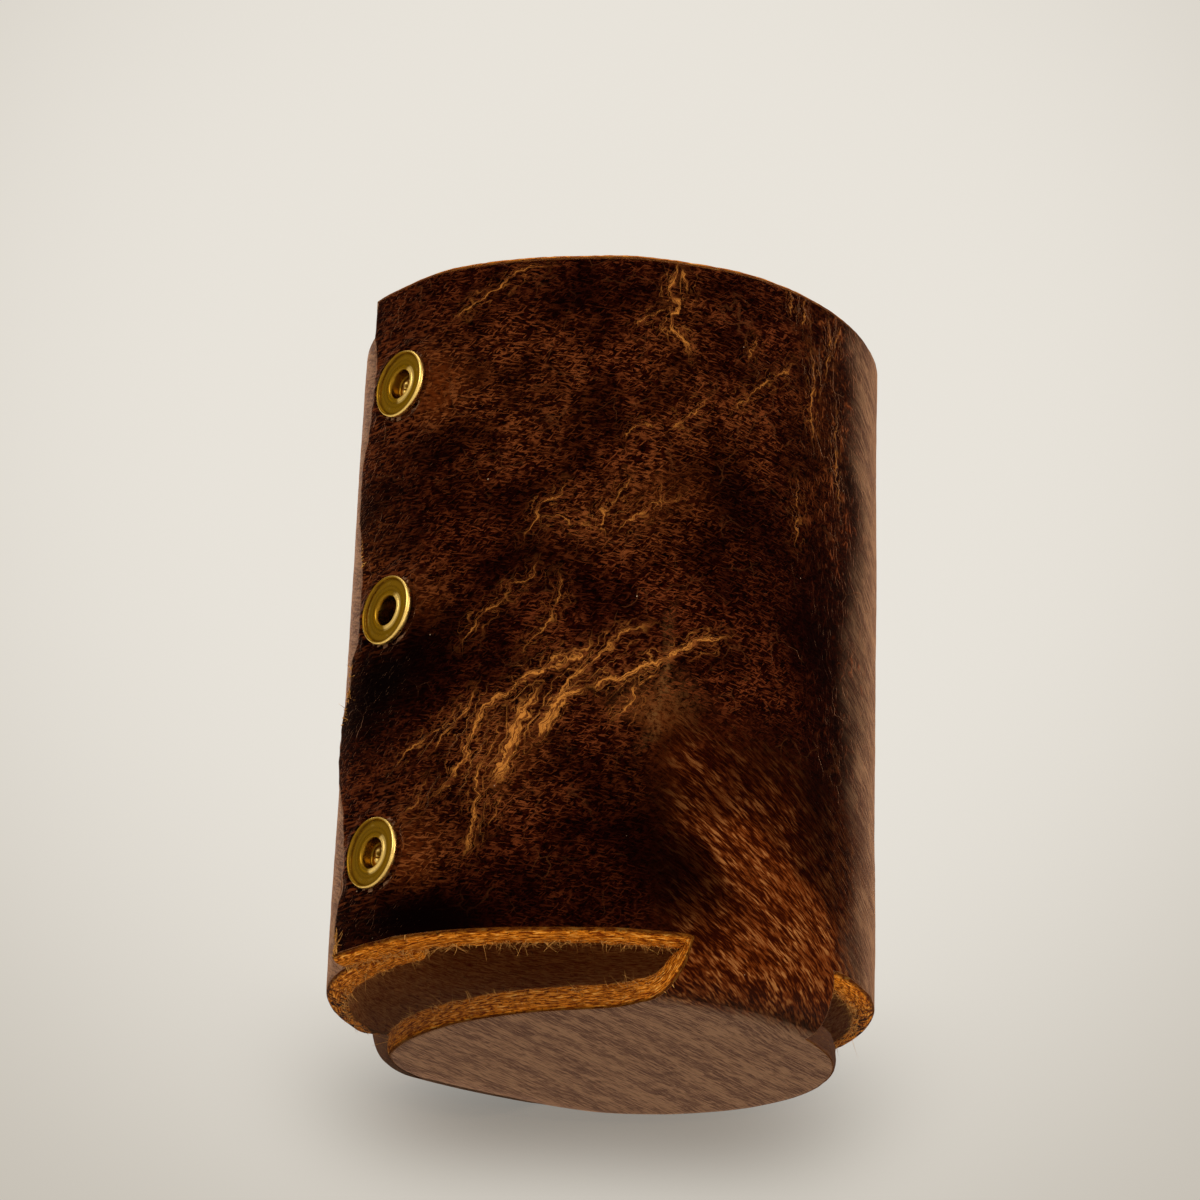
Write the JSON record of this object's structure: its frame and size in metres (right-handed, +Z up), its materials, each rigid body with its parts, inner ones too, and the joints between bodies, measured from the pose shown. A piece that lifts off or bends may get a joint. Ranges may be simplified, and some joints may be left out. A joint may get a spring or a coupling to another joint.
{
  "type": "leather can cooler",
  "caption": "Open-topped round leather sleeve that wraps a drinks can, with a riveted overlap at the front left and a folded-under base whose strap is riveted up the back.",
  "frame": {"origin": "on the flat underside of the base, where the axis of the can sleeve meets it", "axes": "+Z up the sleeve's axis; -Y is the front, where the viewer of the picture stands; +X is the viewer's right"},
  "size_m": [0.0726, 0.0741, 0.1013],
  "materials": {
    "leather": "waxed full grain leather, dark brown with orange pull-up marks, matt to satin, raw tan cut edges",
    "brass": "aged yellow brass, polished rim and dull dished face"
  },
  "bodies": {
    "root": {"leather_body": "leather", "rivet_1_post": "brass", "rivet_1_cap": "brass", "rivet_2_post": "brass", "rivet_2_cap": "brass", "rivet_3_post": "brass", "rivet_3_cap": "brass", "strap_rivet_post": "brass", "strap_rivet_cap": "brass"}
  },
  "joints": []
}
